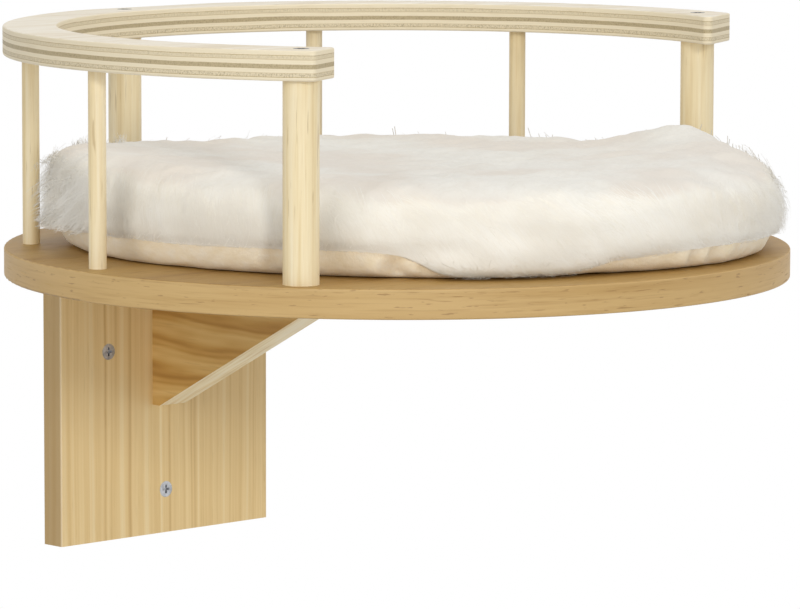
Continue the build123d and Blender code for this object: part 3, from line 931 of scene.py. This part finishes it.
def hairsFrom(skin, paths, spec, rng):
    # every lock is a bundle of hairs whose tips gather towards the lock's own line
    count, joints, hairs = paths.shape[0], paths.shape[1] - 1, spec["hairs"]
    each = (count, hairs, 1, 1)
    _, normal, _ = atSkin(skin, paths[:, 0])
    loose = rng.normal(size=(count, hairs, 3)) * spec["spread"]
    loose -= normal[:, None] * (loose * normal[:, None]).sum(-1, keepdims=True)
    t = np.linspace(0, 1, joints + 1)[None, None, :, None]
    ends = paths[:, -1]
    nearEdge = np.clip((bandAt(ends) + spec["hangFrom"] - ends[:, 2]) / spec["hangFrom"], 0, 1)
    gather = spec["gather"] + (spec["edgeGather"] - spec["gather"]) * nearEdge
    gather = gather[:, None, None, None] * rng.uniform(0.75, 1.1, each)
    share = rng.uniform(0.72, 1.0, each)
    line = paths[:, None]
    shorter = line[:, :, :1] + (line - line[:, :, :1]) * share
    points = shorter + loose[:, :, None] * (1 - np.minimum(gather, 0.96) * t ** 0.8)
    points += rng.normal(size=(count, hairs, 1, 3)) * spec["tipSpread"] * t ** 1.5
    # and each hair waves a little more towards its tip
    waves, start = rng.uniform(2, 6, each), rng.uniform(0, 6.28, each)
    points += np.sin(t * waves + start) * rng.normal(size=(count, hairs, 1, 3)) * spec["wave"] * t
    points = points.reshape(-1, 3)
    foot, normal, stand = atSkin(skin, points)
    least = np.tile(np.linspace(0, 1, joints + 1) > 0, count * hairs) * spec["leastStand"]
    points = np.where((stand < least)[:, None], foot + normal * least[:, None], points)
    # tips that would hang over the short band draw up to its edge
    over = np.maximum(bandAt(points) + spec["overBand"] - points[:, 2], 0)
    points[:, 2] += over * 0.8
    points[:, 2] = np.maximum(points[:, 2], boardTop + spec["overBoard"])
    points = awayFromPosts(points, spec["clear"])
    return points.reshape(-1, joints + 1, 3), normal.reshape(-1, joints + 1, 3)


def ribbons(name, points, normal, spec, rng):
    # a hair is a narrow flat ribbon that lies on the pad and thins to its tip
    along = np.gradient(points, axis=1)
    across = unit(np.cross(unit(along), normal))
    twist = rng.uniform(-1, 1, (len(points), 1, 1)) * spec["twist"]
    across = unit(across * np.cos(twist) + normal * np.sin(twist))
    t = np.linspace(0, 1, points.shape[1])[None, :, None]
    half = (spec["rootWidth"] * (1 - t ** 1.6) + spec["tipWidth"] * t ** 1.6) / 2
    half = half * rng.uniform(0.7, 1.25, (len(points), 1, 1))
    both = np.stack([points + across * half, points - across * half], 2)
    n, rows = points.shape[0], points.shape[1]
    base = (np.arange(n) * rows * 2)[:, None] + (np.arange(rows - 1) * 2)[None]
    quads = np.stack([base, base + 2, base + 3, base + 1], -1).reshape(-1, 4)
    piece = meshFrom(name, both.reshape(-1, 3), quads)
    # the pile shades as one soft coat: a hair that lies down faces as the pad does, a steep one as itself
    own = unit(np.cross(across, unit(along)))
    steep = 1 - np.clip((own * normal).sum(-1, keepdims=True), 0, 1)
    facing = np.repeat(unit(normal + own * steep * 3)[:, :, None], 2, 2).reshape(-1, 3)
    facing = unit(facing + rng.normal(size=facing.shape) * 0.03)
    piece.data.normals_split_custom_set_from_vertices(facing.tolist())
    # each hair has its own column of the map, and the map's height runs from root to tip
    column = np.repeat(rng.uniform(size=n), rows * 2)
    row = np.tile(np.repeat(np.linspace(0, 1, rows), 2), n)
    places = np.stack([column, row], 1)[quads.ravel()]
    piece.data.uv_layers.new(name="strand").data.foreach_set("uv", places.astype(np.float32).ravel())
    return piece


pileTones = dict(soft=(234, 230, 221), white=(242, 240, 234), own=(227, 221, 210),
                 root=(229, 223, 211))


def pileFinish():
    # v runs from a hair's root to its tip, and u tells the hairs apart
    paint = Finish("longPile")
    x, y, z = paint.place()
    strand = paint.node("UVMap", {"uv_map": "strand"}, {})[0]
    u, v, _ = paint.node("SeparateXYZ", {}, {0: strand})
    soft = paint.noise(x * 22, y * 22, z * 30, 3, 0.55)
    own = paint.noise(u * 400, 1, 2, 1)
    body = paint.mix(paint.step(soft, 0.35, 0.65), pileTones["soft"], pileTones["white"])
    body = paint.mix(paint.step(own, 0.4, 0.7) * 0.35, body, pileTones["own"])
    # painted shade: each hair darkens towards its root, where it lies under the others
    body = paint.mix((1 - v) * 0.2, body, pileTones["root"])
    return paint.cover(body, 0.72 + own * 0.12, **{
        "Sheen Weight": 0.2, "Sheen Roughness": 0.4, "Specular IOR Level": 0.25})


def addPile(name, skin, paths, spec, rng):
    points, normal = hairsFrom(skin, paths, spec, rng)
    piece = ribbons(name, points, normal, spec, rng)
    piece.data.materials.append(pile)
    piece.visible_shadow = False  # fine white hair lets the light through
    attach(piece, "cushion")


def tuftPaths(skin, spec, joints, rng):
    # short lines that stand out of the skin and sag with the square of the way along them
    count = spec["count"]
    turn = np.radians(rng.uniform(*spec["degrees"], count))
    out = np.stack([np.cos(turn), np.sin(turn), np.zeros(count)], 1)
    reach = padRadius(np.degrees(turn)) + around(cushionBody["reach"], np.degrees(turn)) - spec["inset"]
    start = np.array([*cushionBody["middle"], boardTop]) + out * reach[:, None]
    start[:, 2] += rng.uniform(*spec["heights"], count)
    foot, _, _ = atSkin(skin, start)
    way = unit(out * rng.uniform(*spec["out"], (count, 1)) + rng.normal(size=(count, 3)) * 0.18
               + upward * rng.uniform(*spec["rise"], (count, 1)))
    length = rng.uniform(*spec["length"], (count, 1, 1))
    t = np.linspace(0, 1, joints + 1)[None, :, None]
    return foot[:, None] + way[:, None] * length * t - upward * spec["sag"] * length * t ** 2


skin = skinOf(pad, cushionBody["middle"])
rng = np.random.default_rng(longPile["seed"])
roots = scatter(pad, longPile["locks"], rng)
paths = trimToBand(lockPaths(skin, roots, longPile, rng), rng)
# the locks are parted by the quarter of the pad that they start in
sector = ((bearing(paths[:, 0, :2] - cushionBody["middle"]) - 180) % 360 / 90).astype(int)
pile = pileFinish()
for number, name in enumerate(("pile_front_left", "pile_front_right", "pile_back_right", "pile_back_left")):
    addPile(name, skin, paths[sector == number], longPile, rng)
addPile("pile_left_wisp", skin, np.array(leftWisp["lines"]) / 10000, {**longPile, **leftWisp}, rng)
for name, tufts in (("pile_top_tufts", topTufts), ("pile_left_fluff", leftFluff)):
    addPile(name, skin, tuftPaths(skin, tufts, longPile["joints"], rng), {**longPile, **tufts}, rng)
print("pile laid")
